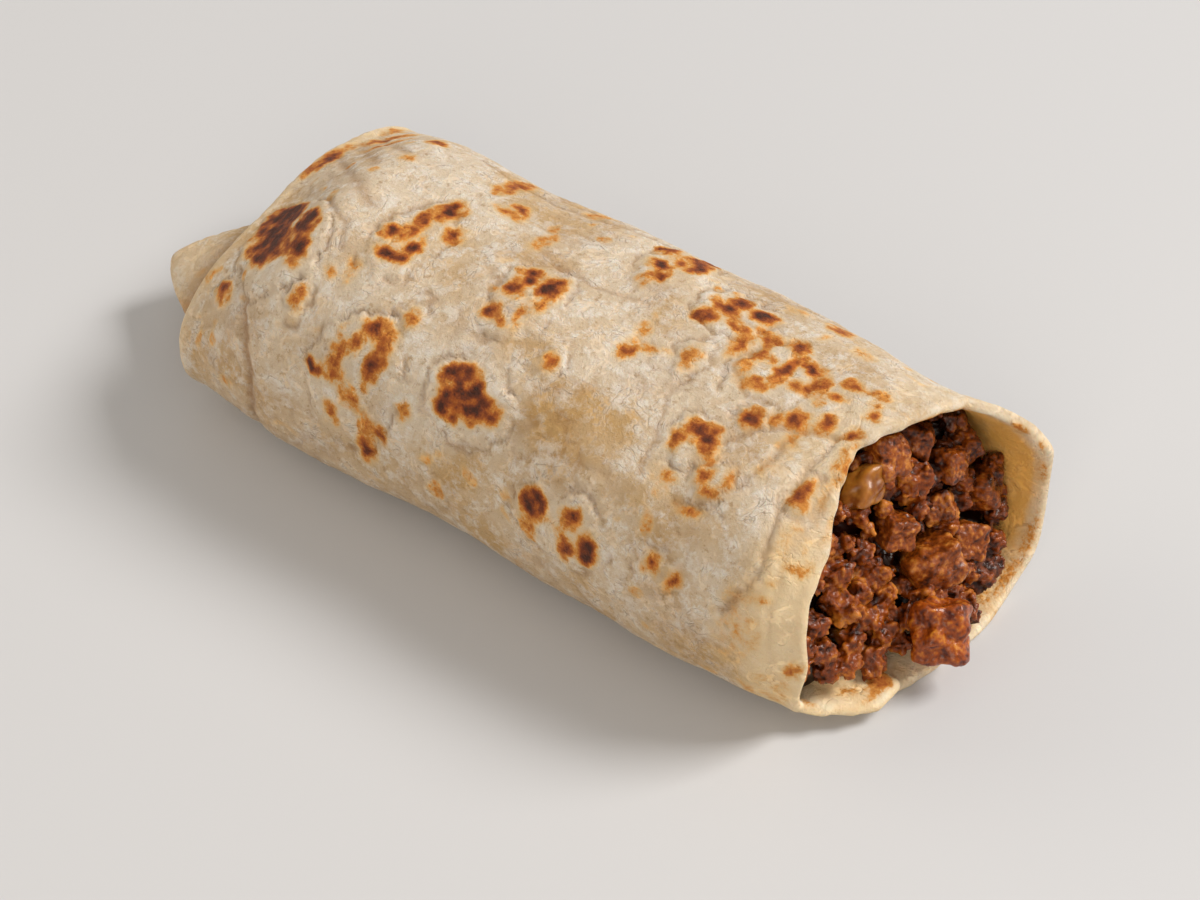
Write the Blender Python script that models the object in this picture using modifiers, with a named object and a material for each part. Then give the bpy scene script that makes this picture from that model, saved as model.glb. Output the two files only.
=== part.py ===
"""A beef burrito lying on its seam: one flour tortilla rolled round a chunky beef filling.

Run with: blender --background --python part.py
Units are metres, +Z is up, and the part rests on Z = 0. The roll runs along X, with its open mouth at +X and its
folded, tucked end at -X; -Y is the front. The origin is the middle of the bottom face of the part's box.

Sub-parts: tortilla (the rolled sheet with its folded end), filling (the heap of beef that fills the roll),
beef_chunk (the largest cube of beef, on the mouth's lip) and onion_piece (the slice of onion under its roof).
"""

import math

import bmesh
import bpy
import numpy as np

# ---------------------------------------------------------------- driving dimensions, in metres
SHEET = 0.0026          # thickness of the tortilla
LAYER_GAP = 0.0005      # air between the two layers where the sheet overlaps itself
CLEARANCE = 0.0004      # least gap between one sub-part and the next

TIP_X = -0.1125         # point of the tucked end
FOLD_X = -0.0880        # folded edge of the outer turn
FOLD_SLANT = 0.0020     # how far that edge is skewed, back at the rear and forward at the front
LIP_X = 0.1105          # furthest reach of the mouth's lip
ROLL_AT = (-0.0005, -0.0053, 0.0)  # the roll's axis in the part's frame, which is centred on the whole

HALF_WIDTH = 0.0442     # half the roll's width, along most of its length
HEIGHT = 0.0585         # height of the roll
END_HALF_WIDTH = 0.0485  # the closed end is pressed wider and lower
END_HEIGHT = 0.0395
END_SHIFT = 0.0085      # and leans to the back
END_LENGTH = 0.0350     # length over which the roll flattens towards its closed end
MOUTH_PINCH = 0.0030    # the roll draws in by this much at the mouth
MOUTH_PINCH_LENGTH = 0.045

MIDDLE = 0.42           # height of the widest point, as a share of the roll's height
TOP_POWER = 2.3         # squareness of the upper half of the section, 2 being an ellipse
BOTTOM_POWER = 2.5      # and of the lower half
SINK = 1.14             # how far the lower half would reach if the table did not flatten it
SLACK = 0.0006          # waviness of the sheet

SHEET_START = 33.0      # the sheet's inner end, in degrees round from straight down, by way of the front
SHEET_END = 49.0        # its outer end, one turn further on, which lies flat underneath
STEP_DOWN = 14.0        # degrees in which the inner layer comes down past the outer end
SEAM_DEPTH = 0.160      # length of seam that stays open, from the lip: behind it the layers have stuck together

FOLD_RADIUS = 0.0040    # roundness of the folded edge
TUCK_INSET = 0.0052     # depth of the crease between that edge and the tucked tip
TUCK_HALF_WIDTH = 0.0330
TUCK_HALF_HEIGHT = 0.0105
TUCK_HEIGHT = 0.0165    # height of the tip's middle where it comes out
TIP_Y = -0.0125         # where its point lies
TIP_Z = 0.0140
TIP_ROUND = 0.0036

FLARE = 0.0014          # how far the mouth's back wall spreads
CURL = 0.0016           # how far its front wall turns in
FLARE_LENGTH = 0.012
RIM_ROUND = 0.0007      # bevel on the mouth's cut edge

# The mouth's cut edge: degrees round from straight down, and how far along X the sheet reaches there.
MOUTH_RIM = (
    (0, 0.1090), (18, 0.1071), (40, 0.1042), (54, 0.1030), (63, 0.0932), (84, 0.0945), (104, 0.0935), (128, 0.0910),
    (157, 0.0868), (171, 0.0842), (184, 0.0870), (205, 0.0908), (222, 0.0935), (240, 0.1040), (262, 0.1092),
    (300, LIP_X), (340, LIP_X), (360, 0.1090),
)

ROUND_STEPS = 60        # facets round the roll
CAVITY_X = -0.062       # inner face of the folded layers that close the end
PAST_MOUTH = 0.020      # how far cutters run on past the lip
FILLING_TOP_X = 0.0800  # the filling's face leans back: where it is at the roof
FILLING_TOE_X = 0.1040  # and where it is at the floor
FILLING_SLANT = 0.16    # rise of the face along X for each metre to the back, as the mouth is cut askew
RIM_RECESS = 0.0035     # least depth of the filling's face behind the cut edge
LUMP = 0.0105           # usual size of a lump of beef
LUMP_RELIEF = 0.0042    # how far lumps stand out of the filling's face

CHUNK = (0.0110, 0.0120, 0.0150)      # the large cube of beef
CHUNK_AT = (0.1056, -0.0010, 0.0120)
CHUNK_TURN = (0, -34, -54)            # degrees about X, Y and Z
CHUNK_ROUND = 0.0032
ONION = (0.0050, 0.0125, 0.0100)      # the slice of onion
ONION_AT = (0.0850, -0.0030, 0.0445)
ONION_TURN = (-25, -22, 14)
ONION_ROUND = 0.0018


def smooth_step(low, high, value):
    """0 below low, 1 above high, and an even S between."""
    share = min(1.0, max(0.0, (value - low) / (high - low)))
    return share * share * (3 - 2 * share)


# ---------------------------------------------------------------- the roll's form
def flattening(x):
    """0 along the body of the roll, rising to 1 at the folded edge."""
    return 1 - smooth_step(FOLD_X, FOLD_X + END_LENGTH, x)


def half_width(x):
    body = HALF_WIDTH + (END_HALF_WIDTH - HALF_WIDTH) * flattening(x)
    return body - MOUTH_PINCH * smooth_step(LIP_X - MOUTH_PINCH_LENGTH, LIP_X, x)


def height(x):
    return HEIGHT + (END_HEIGHT - HEIGHT) * flattening(x)


def ripple(x, angle):
    """The slack of a soft sheet over lumps: a few long, low waves, none of them underneath."""
    around = math.radians(angle)
    waves = math.sin(3 * around + 41 * x + 0.6) + 0.8 * math.sin(2 * around - 74 * x + 2.1)
    waves += 0.6 * math.sin(5 * around + 118 * x)
    return SLACK * waves * (1 - 0.8 * max(0.0, math.cos(around)))


def section(x, angle, inset=0.0):
    """The point (y, z) of the roll's section at x, that far inside its outer surface."""
    around = math.radians(angle)
    side, down = math.sin(around), math.cos(around)
    middle = MIDDLE * height(x)
    across = half_width(x) - inset
    if down > 0:
        along, power = middle * SINK - inset, BOTTOM_POWER
    else:
        along, power = height(x) - middle - inset, TOP_POWER
    reach = (abs(side / across) ** power + abs(down / along) ** power) ** (-1 / power)
    reach += ripple(x, angle)
    y = END_SHIFT * flattening(x) - reach * side
    return y, max(middle - reach * down, inset)


def rim(angle):
    """How far along X the sheet reaches at the mouth: an even curve through MOUTH_RIM."""
    for (low, start), (high, end) in zip(MOUTH_RIM, MOUTH_RIM[1:]):
        if angle % 360 <= high:
            return start + (end - start) * smooth_step(low, high, angle % 360)
    return MOUTH_RIM[-1][1]


def mouth_spread(x, angle):
    """Outward lean of the sheet near the mouth: the back wall flares, and the front wall curls in."""
    near = smooth_step(rim(angle) - FLARE_LENGTH, rim(angle), x)
    back = smooth_step(190, 235, angle) * (1 - smooth_step(265, 292, angle))
    front = smooth_step(64, 88, angle) * (1 - smooth_step(120, 160, angle))
    return near * (FLARE * back - CURL * front)


def fold_x(angle):
    """Where the folded edge is, which runs slightly askew."""
    return FOLD_X + FOLD_SLANT * math.sin(math.radians(angle))


def quarter_round(radius, distance):
    """How far a rounded edge has drawn in, at that distance from the edge's end."""
    before = max(0.0, radius - distance)
    return radius - math.sqrt(max(0.0, radius**2 - before**2))


def layer_inset(angle):
    """The sheet's inner end lies on its outer end, and comes down to the table just past it."""
    return (SHEET + LAYER_GAP) * (1 - smooth_step(SHEET_END + 1, SHEET_END + 1 + STEP_DOWN, angle))


def round_angles(steps=ROUND_STEPS):
    return [360 * step / steps for step in range(steps)]


# ---------------------------------------------------------------- helpers
def new_object(name, build, collection, material=None):
    """An object from a bmesh that build fills in, shaded smooth except at sharp edges."""
    cage = bmesh.new()
    build(cage)
    bmesh.ops.recalc_face_normals(cage, faces=cage.faces)
    mesh = bpy.data.meshes.new(name)
    cage.to_mesh(mesh)
    cage.free()
    mesh.shade_smooth()
    mesh.set_sharp_from_angle(angle=math.radians(40))
    made = bpy.data.objects.new(name, mesh)
    made.parent = bpy.data.objects["roll_axis"]
    collection.objects.link(made)
    if material:
        mesh.materials.append(material)
    return made


def loop_of(cage, points):
    return [cage.verts.new(point) for point in points]


def skin(cage, loops):
    """Quads between closed loops of vertices."""
    for loop, following in zip(loops, loops[1:]):
        for i, vertex in enumerate(loop):
            j = (i + 1) % len(loop)
            cage.faces.new((vertex, loop[j], following[j], following[i]))


def fan(cage, loop, tip):
    """Triangles from a closed loop to one point."""
    centre = cage.verts.new(tip)
    for i, vertex in enumerate(loop):
        cage.faces.new((vertex, loop[(i + 1) % len(loop)], centre))


def middle_of(loop):
    return np.mean([vertex.co for vertex in loop], axis=0)


def finish(name, colour, roughness):
    material = bpy.data.materials.new(name)
    material.use_nodes = True
    shader = material.node_tree.nodes["Principled BSDF"]
    shader.inputs["Base Color"].default_value = (*colour, 1)
    shader.inputs["Roughness"].default_value = roughness
    shader.inputs["Metallic"].default_value = 0.0
    return material


def cut(target, cutter):
    cutter.hide_render = True
    cutter.display_type = "WIRE"
    modifier = target.modifiers.new("cut_" + cutter.name, "BOOLEAN")
    modifier.operation = "DIFFERENCE"
    modifier.object = cutter
    modifier.solver = "EXACT"


# ---------------------------------------------------------------- tortilla
def tuck_section(out, angle):
    """The tucked tip, a flat lens that tapers and droops to its point as out goes from 0 to 1."""
    around = math.radians(angle)
    taper = (1 - out) ** 0.9
    end = math.sqrt(max(0.0, 1 - out**5))
    across = (TUCK_HALF_WIDTH - TIP_ROUND) * taper + TIP_ROUND * end
    tall = (TUCK_HALF_HEIGHT - TIP_ROUND) * taper + TIP_ROUND * end
    y = TIP_Y * (0.25 + 0.75 * out) - across * math.sin(around)
    return y, TUCK_HEIGHT + (TIP_Z - TUCK_HEIGHT) * out - tall * math.cos(around)


def fold_point(angle, distance, inset):
    x = fold_x(angle) + distance
    return x, *section(x, angle, inset)


def roll_body(cage):
    """The whole roll as one solid: mouth, body, folded edge, the crease behind it, and the tip."""
    angles = round_angles()
    loops = []
    for share in [1.0, 0.996, 0.97, 0.94, 0.90] + list(np.linspace(0.84, 0.36, 8)) + [0.28, 0.21, 0.15, 0.10, 0.06]:
        points = []
        for angle in angles:
            reach = rim(angle)
            x = fold_x(angle) + (reach - fold_x(angle)) * share
            inset = quarter_round(RIM_ROUND, reach - x) - mouth_spread(x, angle)
            points.append((x, *section(x, angle, inset)))
        loops.append(loop_of(cage, points))
    for distance in (0.0065, 0.0038, 0.0022, 0.0010, 0.0003, 0.0):
        inset = quarter_round(FOLD_RADIUS, distance)
        loops.append(loop_of(cage, [fold_point(angle, distance, inset) for angle in angles]))
    loops.append(loop_of(cage, [fold_point(angle, 0.0012, TUCK_INSET) for angle in angles]))
    for out in (0.0, 0.14, 0.30, 0.46, 0.62, 0.77, 0.89, 0.97):
        x = FOLD_X + 0.0010 + (TIP_X - FOLD_X - 0.0010) * out
        loops.append(loop_of(cage, [(x, *tuck_section(out, angle)) for angle in angles]))
    skin(cage, loops)
    fan(cage, loops[-1], (TIP_X, TIP_Y, TIP_Z))
    inner = [(x, y * 0.8, z * 0.8 + HEIGHT * 0.1) for x, y, z in (vertex.co for vertex in loops[0])]
    face = loop_of(cage, inner)
    skin(cage, [face, loops[0]])
    fan(cage, face, middle_of(face))


def cavity(cage):
    """The space inside the roll, with the step where the sheet's inner end lies on its outer layer."""
    outline = [(angle, SHEET + (layer_inset(angle) if angle > SHEET_START else 0.0)) for angle in round_angles()]
    step = [(SHEET_START - 0.05, SHEET), (SHEET_START, SHEET + layer_inset(SHEET_START))]
    outline = sorted(outline + step)
    loops = []
    for share in (0.0, 0.04, 0.12, 0.24, 0.36, 0.50, 0.64, 0.78, 0.86, 0.92, 0.96, 1.0, 1.15):
        points = []
        for angle, inset in outline:
            x = CAVITY_X + (rim(angle) - CAVITY_X) * share
            drawn_in = quarter_round(0.004, x - CAVITY_X)
            points.append((x, *section(x, angle, inset + drawn_in - mouth_spread(x, angle))))
        loops.append(loop_of(cage, points))
    skin(cage, loops)
    cage.faces.new(loops[0])
    fan(cage, loops[-1], middle_of(loops[-1]))


def seam_slit(cage):
    """The air between the layers of the seam, and the notch outside the sheet's outer end."""
    clear = SHEET + 0.0001
    below = -0.0015
    lower = [(SHEET_START - 3, clear), (SHEET_START + 5, clear), (SHEET_START + 11, clear), (SHEET_END, clear)]
    outside = [(SHEET_END, below), (SHEET_END + STEP_DOWN + 1, below)]
    upper = [
        (angle, layer_inset(angle) - 0.0002)
        for angle in (SHEET_END + STEP_DOWN + 1, SHEET_END + 11, SHEET_END + 8, SHEET_END + 5, SHEET_END + 2)
    ]
    upper += [(SHEET_END, SHEET + LAYER_GAP), (SHEET_START + 5, SHEET + LAYER_GAP), (SHEET_START - 3, SHEET + LAYER_GAP)]
    loops = []
    for x in np.linspace(LIP_X - SEAM_DEPTH, LIP_X + PAST_MOUTH, 9):
        loops.append(loop_of(cage, [(x, *section(x, angle, inset)) for angle, inset in lower + outside + upper]))
    skin(cage, loops)
    cage.faces.new(loops[0])
    cage.faces.new(loops[-1])


def make_tortilla(parts, cutters):
    tortilla = new_object("tortilla", roll_body, parts, finish("flour_tortilla", (0.80, 0.69, 0.52), 0.65))
    cut(tortilla, new_object("cavity", cavity, cutters))
    cut(tortilla, new_object("seam_slit", seam_slit, cutters))


# ---------------------------------------------------------------- filling
def lump_centres():
    """Where the lumps of beef sit on the mouth's face: a jittered lattice, in (y, z)."""
    scatter = np.random.default_rng(7)
    centres = []
    for j, z in enumerate(np.arange(0.002, HEIGHT, LUMP * 0.86)):
        for y in np.arange(-HALF_WIDTH, HALF_WIDTH, LUMP) + (j % 2) * LUMP / 2:
            centres.append((y, z) + scatter.uniform(-0.28, 0.28, 2) * LUMP)
    return np.array(centres)


def lump_relief(y, z, centres):
    """A rounded swelling over each lump, with valleys between them."""
    gaps = np.hypot(centres[:, 0] - y, centres[:, 1] - z)
    nearest = gaps.min() / (0.62 * LUMP)
    size = 0.55 + 0.45 * math.sin(2.4 * gaps.argmin()) ** 2
    return LUMP_RELIEF * size * max(0.0, 1 - nearest**2)


def filling_inset(x, angle):
    """Clear of the sheet, and of both its layers round the seam."""
    over = (SHEET + LAYER_GAP) * smooth_step(SHEET_START - 16, SHEET_START - 3, angle)
    if angle > SHEET_START:
        over = layer_inset(angle)
    return SHEET + 2 * CLEARANCE + over - min(0.0, mouth_spread(x, angle))


def face_x(y, z):
    """Where the filling's face is: it leans back, and follows the mouth's skew."""
    lean = (FILLING_TOP_X - FILLING_TOE_X) * min(1.0, z / (HEIGHT - SHEET))
    return FILLING_TOE_X + lean + FILLING_SLANT * y


def filling_body(cage):
    """The heap, out to the sheet: its back wall, its sides, and its lumpy face at the mouth."""
    start = CAVITY_X + 3 * CLEARANCE
    loops = []
    for share in (0.0, 0.03, 0.14, 0.28, 0.42, 0.56, 0.70, 0.82, 0.90, 0.96, 1.0):
        points = []
        for angle in round_angles():
            side = section(FILLING_TOP_X, angle, filling_inset(FILLING_TOP_X, angle))
            reach = min(face_x(*side), rim(angle) - RIM_RECESS)
            x = start + (reach - start) * share
            drawn_in = quarter_round(0.0045, x - start)
            points.append((x, *section(x, angle, filling_inset(x, angle) + drawn_in)))
        loops.append(loop_of(cage, points))
    centres = lump_centres()
    edge = np.array([vertex.co for vertex in loops[-1]])
    centre = edge.mean(axis=0)
    for share in (0.93, 0.86, 0.78, 0.70, 0.61, 0.52, 0.43, 0.34, 0.25, 0.15, 0.07):
        points = centre + (edge - centre) * share
        level = [face_x(y, z) + lump_relief(y, z, centres) for x, y, z in points]
        points[:, 0] = edge[:, 0] * share**3 + np.array(level) * (1 - share**3)
        loops.append(loop_of(cage, points))
    skin(cage, loops)
    cage.faces.new(loops[0])
    y, z = centre[1:]
    fan(cage, loops[-1], (face_x(y, z) + lump_relief(y, z, centres), y, z))


def block(name, size, place, turn, rounding, collection, material=None, grow=0.0):
    """A soft-cornered block of food, cut from a cube."""

    def shape(cage):
        bmesh.ops.create_cube(cage, size=1)
        bmesh.ops.scale(cage, verts=cage.verts, vec=[side + 2 * grow for side in size])

    made = new_object(name, shape, collection, material)
    made.location = place
    made.rotation_euler = [math.radians(degrees) for degrees in turn]
    bevel = made.modifiers.new("soft_edges", "BEVEL")
    bevel.width = rounding + grow
    bevel.segments = 3
    return made


def make_filling(parts, cutters):
    filling = new_object("filling", filling_body, parts, finish("braised_beef", (0.16, 0.055, 0.022), 0.35))
    pieces = (
        ("beef_chunk", CHUNK, CHUNK_AT, CHUNK_TURN, CHUNK_ROUND, finish("beef_cube", (0.24, 0.07, 0.02), 0.3)),
        ("onion_piece", ONION, ONION_AT, ONION_TURN, ONION_ROUND, finish("cooked_onion", (0.62, 0.42, 0.22), 0.25)),
    )
    for name, size, place, turn, rounding, material in pieces:
        block(name, size, place, turn, rounding, parts, material)
        cut(filling, block(name + "_pocket", size, place, turn, rounding, cutters, grow=CLEARANCE))


def main():
    for old in list(bpy.data.objects):
        bpy.data.objects.remove(old)
    parts = bpy.data.collections.new("burrito")
    cutters = bpy.data.collections.new("cutters")
    for collection in (parts, cutters):
        bpy.context.scene.collection.children.link(collection)
    axis = bpy.data.objects.new("roll_axis", None)
    axis.location = ROLL_AT
    parts.objects.link(axis)
    make_tortilla(parts, cutters)
    make_filling(parts, cutters)


main()
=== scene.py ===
# %% [markdown]
# # A beef burrito
# One large flour tortilla is rolled round a chunky beef filling. It lies on its seam, tucked shut at one
# end and open at the other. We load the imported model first: it is the frame, and every piece below is
# placed from its boxes.

# %% Load the frame
import math

import bmesh
import bpy
import numpy as np
from mathutils import Euler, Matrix, Vector, kdtree, noise


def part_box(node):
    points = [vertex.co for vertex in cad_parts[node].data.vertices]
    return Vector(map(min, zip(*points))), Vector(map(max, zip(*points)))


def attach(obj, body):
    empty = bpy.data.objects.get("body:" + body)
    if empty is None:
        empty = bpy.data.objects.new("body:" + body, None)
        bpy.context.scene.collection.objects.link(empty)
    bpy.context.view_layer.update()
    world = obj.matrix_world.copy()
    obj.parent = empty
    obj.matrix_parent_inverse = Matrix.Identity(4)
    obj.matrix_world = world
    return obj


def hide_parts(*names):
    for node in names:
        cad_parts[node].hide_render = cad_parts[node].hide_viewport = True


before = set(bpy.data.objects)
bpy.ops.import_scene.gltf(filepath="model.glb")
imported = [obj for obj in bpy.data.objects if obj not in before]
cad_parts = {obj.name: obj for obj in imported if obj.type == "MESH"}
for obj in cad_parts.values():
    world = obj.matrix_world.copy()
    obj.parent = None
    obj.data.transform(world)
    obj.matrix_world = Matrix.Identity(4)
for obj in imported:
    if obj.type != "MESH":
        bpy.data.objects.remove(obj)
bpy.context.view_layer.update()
MM = 0.001
tortilla_low, tortilla_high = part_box("tortilla")
print("tortilla, mm:", [round(side / MM, 1) for side in tortilla_high - tortilla_low])

# %% [markdown]
# ## Small helpers
# Colours are easiest to pick as sRGB hex, but shaders work in linear light, so one function converts them.
# Another adds a shader node with its settings and links in one line, which keeps each material short enough
# to read.

# %% Colour and node helpers
def colour(hex_code):
    """Linear RGBA from an sRGB hex string such as "d8b48a"."""
    channels = [int(hex_code[i : i + 2], 16) / 255 for i in (0, 2, 4)]
    linear = [c / 12.92 if c <= 0.04045 else ((c + 0.055) / 1.055) ** 2.4 for c in channels]
    return (*linear, 1.0)


def new_object(name, data):
    """An object for that mesh, lamp or camera, linked into the scene."""
    made = bpy.data.objects.new(name, data)
    bpy.context.scene.collection.objects.link(made)
    return made


def new_material(name):
    """A material, and the shader in it."""
    made = bpy.data.materials.new(name)
    made.use_nodes = True
    return made, made.node_tree.nodes["Principled BSDF"]


def set_inputs(shader, settings):
    """Sets a shader's constants, by the names of its inputs."""
    for name, value in settings.items():
        shader.inputs[name].default_value = value


def add_node(material, kind, output, **settings):
    """Adds a shader node and returns the output asked for.

    A setting is a property of the node or one of its inputs, by name or as in_ and its number. An input
    takes a number, a colour in hex, or another node's output, which is then linked to it.
    """
    made = material.node_tree.nodes.new("ShaderNode" + kind)
    for key, value in settings.items():
        if hasattr(made, key):
            setattr(made, key, value)
            continue
        socket = made.inputs[int(key[3:])] if key.startswith("in_") else made.inputs[key.replace("_", " ")]
        if isinstance(value, bpy.types.NodeSocket):
            material.node_tree.links.new(value, socket)
        else:
            socket.default_value = colour(value) if isinstance(value, str) else value
    return made.outputs[output]


def colour_steps(scale, steps):
    """Fills the Color Ramp that this output belongs to from (position, hex colour) pairs."""
    ramp = scale.node.color_ramp
    while len(ramp.elements) < len(steps):
        ramp.elements.new(0.5)
    for element, (position, hex_code) in zip(ramp.elements, steps):
        element.position = position
        element.color = colour(hex_code)


def smooth_step(low, high, value):
    """0 up to low, 1 from high on, and an even curve between the two."""
    share = np.clip((value - low) / (high - low), 0, 1)
    return share * share * (3 - 2 * share)


def keep_on_mesh(mesh, attributes):
    """Stores a number per point under each name, for a material to read."""
    for key, values in attributes.items():
        kept = mesh.attributes.new(key, "FLOAT", "POINT")
        kept.data.foreach_set("value", np.array(values, np.float32).reshape(-1))


def noise_at(points, size, shift=0.0):
    """Perlin noise, about -1 to 1, with features of that size in metres."""
    scaled = np.asarray(points) / size + shift
    return np.array([noise.noise(p) for p in scaled])


# %% [markdown]
# ## Camera, floor and light
# A food picture is taken from about 45 degrees with a longish lens, so the roll keeps its proportions. A
# large soft light behind and to the right models the top and throws a gentle shadow forwards; two weak ones
# fill the front and the folded end.

# %% Camera
CAMERA_AZIMUTH, CAMERA_ELEVATION, CAMERA_DISTANCE = math.radians(36.6), math.radians(45.04), 0.6858
AIM_X, AIM_Y = 0.1184, 0.0545
target = Vector((tortilla_low.x + AIM_X, tortilla_low.y + AIM_Y, 0))
towards = Vector((
    math.sin(CAMERA_AZIMUTH) * math.cos(CAMERA_ELEVATION),
    -math.cos(CAMERA_AZIMUTH) * math.cos(CAMERA_ELEVATION),
    math.sin(CAMERA_ELEVATION),
))
camera = new_object("camera", bpy.data.cameras.new("camera"))
camera.data.lens = 85
camera.data.sensor_width = 36
camera.location = target + towards * CAMERA_DISTANCE
camera.rotation_euler = (-towards).to_track_quat("-Z", "Y").to_euler()
bpy.context.scene.camera = camera


# %% Lights and floor
def soft_light(name, place, size, power, tint):
    """A square area light that faces the burrito."""
    lamp = bpy.data.lights.new(name, "AREA")
    lamp.size, lamp.energy, lamp.color = size, power, colour(tint)[:3]
    made = new_object(name, lamp)
    made.location = place
    made.rotation_euler = (-Vector(place)).to_track_quat("-Z", "Y").to_euler()


soft_light("window", (1.28, 1.42, 1.80), 0.95, 65, "fffbf6")
soft_light("fill", (0.55, -0.95, 0.65), 0.7, 4.6, "fff4e4")
soft_light("bounce", (-0.95, -0.35, 0.45), 0.7, 2.6, "fff2e0")

world = bpy.data.worlds.new("studio")
world.use_nodes = True
set_inputs(world.node_tree.nodes["Background"], {"Color": colour("f6f1ea"), "Strength": 0.40})
bpy.context.scene.world = world
bpy.context.scene.view_settings.view_transform = "Standard"

floor_mesh = bpy.data.meshes.new("floor")
FLOOR = 3.0
corners = [(-FLOOR, -FLOOR, 0), (FLOOR, -FLOOR, 0), (FLOOR, FLOOR, 0), (-FLOOR, FLOOR, 0)]
floor_mesh.from_pydata(corners, [], [(0, 1, 2, 3)])
floor = new_object("floor", floor_mesh)
floor_paint, floor_shader = new_material("pale_glazed_table")
set_inputs(floor_shader, {"Base Color": colour("cccdd0"), "Roughness": 0.45})
floor_mesh.materials.append(floor_paint)

# %% [markdown]
# ## The roll's form
# Across, a burrito that rests on a table is a squarish oval with a flat underside. One function gives the
# point at any place along the roll, any angle round it and any depth into it; every layer below is drawn
# with it. Angles start straight down and rise by way of the front.

# %% Section of the roll
AXIS_X, AXIS_Y = 0.1125, 0.0456
AXIS = Vector((tortilla_low.x + AXIS_X, tortilla_low.y + AXIS_Y, 0))
HALF_WIDTH, HEIGHT = 0.0442, 0.0585
END_HALF_WIDTH, END_HEIGHT, END_SHIFT, END_LENGTH = 0.0485, 0.0395, 0.0085, 0.035
FOLD_X, FOLD_SLANT, LIP_X = -0.0880, 0.0020, 0.1105
MOUTH_PINCH, MOUTH_PINCH_LENGTH = 0.0030, 0.045
MIDDLE, TOP_POWER, BOTTOM_POWER, SINK, SLACK = 0.42, 2.3, 2.5, 1.14, 0.0006


def flattening(x):
    """0 along the body, rising to 1 at the folded edge, where the roll is pressed wide and low."""
    return 1 - smooth_step(FOLD_X, FOLD_X + END_LENGTH, x)


def ripple(x, around):
    waves = np.sin(3 * around + 41 * x + 0.6) + 0.8 * np.sin(2 * around - 74 * x + 2.1)
    waves = waves + 0.6 * np.sin(5 * around + 118 * x)
    return SLACK * waves * (1 - 0.8 * np.maximum(0, np.cos(around)))


def section(x, angle, inset=0.0):
    """Points (x, y, z) at those places along and round the roll, that far inside it, in its own axes."""
    x, angle, inset = np.broadcast_arrays(np.asarray(x, float), angle, inset)
    around = np.radians(angle)
    side, down = np.sin(around), np.cos(around)
    flat = flattening(x)
    height = HEIGHT + (END_HEIGHT - HEIGHT) * flat
    middle = MIDDLE * height
    across = HALF_WIDTH + (END_HALF_WIDTH - HALF_WIDTH) * flat - inset
    across = across - MOUTH_PINCH * smooth_step(LIP_X - MOUTH_PINCH_LENGTH, LIP_X, x)
    along = np.where(down > 0, middle * SINK, height - middle) - inset
    power = np.where(down > 0, BOTTOM_POWER, TOP_POWER)
    reach = (np.abs(side / across) ** power + np.abs(down / along) ** power) ** (-1 / power)
    reach = reach + ripple(x, around)
    y = END_SHIFT * flat - reach * side
    return np.stack([x, y, np.maximum(middle - reach * down, inset)], axis=-1)


# %% [markdown]
# The mouth is cut askew: the sheet's back wall and its underside reach further than the front, and under
# the roof there is a shallow notch. A few points round the rim, joined by even curves, describe it.

# %% Rim of the mouth
SHEET = 0.0026
LAYER_GAP = 0.0005
SHEET_START, SHEET_END, STEP_DOWN = 33.0, 49.0, 14.0
MOUTH_LENGTH, LEAN_OUT, ROLL_IN = 0.012, 0.0014, 0.0040
RIM = (
    (33, 0.1062), (45, 0.1060), (52, 0.1035), (58, 0.0985), (63, 0.0936), (84, 0.0945), (104, 0.0935),
    (117, 0.0922), (128, 0.0910), (147, 0.0884), (157, 0.0866), (166, 0.0848), (172, 0.0840), (181, 0.0865),
    (192, 0.0895), (209, 0.0912), (222, 0.0935), (232, 0.0985), (242, 0.1062), (255, 0.1092), (280, 0.1095),
    (300, LIP_X), (340, LIP_X), (360, 0.1086), (378, 0.1066), (390, 0.1048), (399, 0.1010), (409, 0.0970),
)


def rim(angle):
    """How far along the roll the sheet reaches."""
    angles, reaches = np.array(RIM).T
    which = np.clip(np.searchsorted(angles, angle) - 1, 0, len(angles) - 2)
    share = smooth_step(angles[which], angles[which + 1], np.asarray(angle))
    return reaches[which] * (1 - share) + reaches[which + 1] * share


def layer_inset(angle):
    """The sheet's inner end lies on its outer end, and steps down past it."""
    return (SHEET + LAYER_GAP) * (1 - smooth_step(SHEET_END + 1, SHEET_END + 1 + STEP_DOWN, angle))


def mouth_spread(x, angle, reach):
    """Near the mouth the back wall leans out and the front wall rolls in."""
    near = smooth_step(reach - MOUTH_LENGTH, reach, x)
    back = smooth_step(190, 235, angle) * (1 - smooth_step(265, 292, angle))
    front = smooth_step(64, 88, angle) * (1 - smooth_step(130, 165, angle))
    return near * LEAN_OUT * back - near**1.4 * ROLL_IN * front


print("rim reaches, mm:", round(float(rim(300)) / MM, 1), "and", round(float(rim(172)) / MM, 1))
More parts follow.
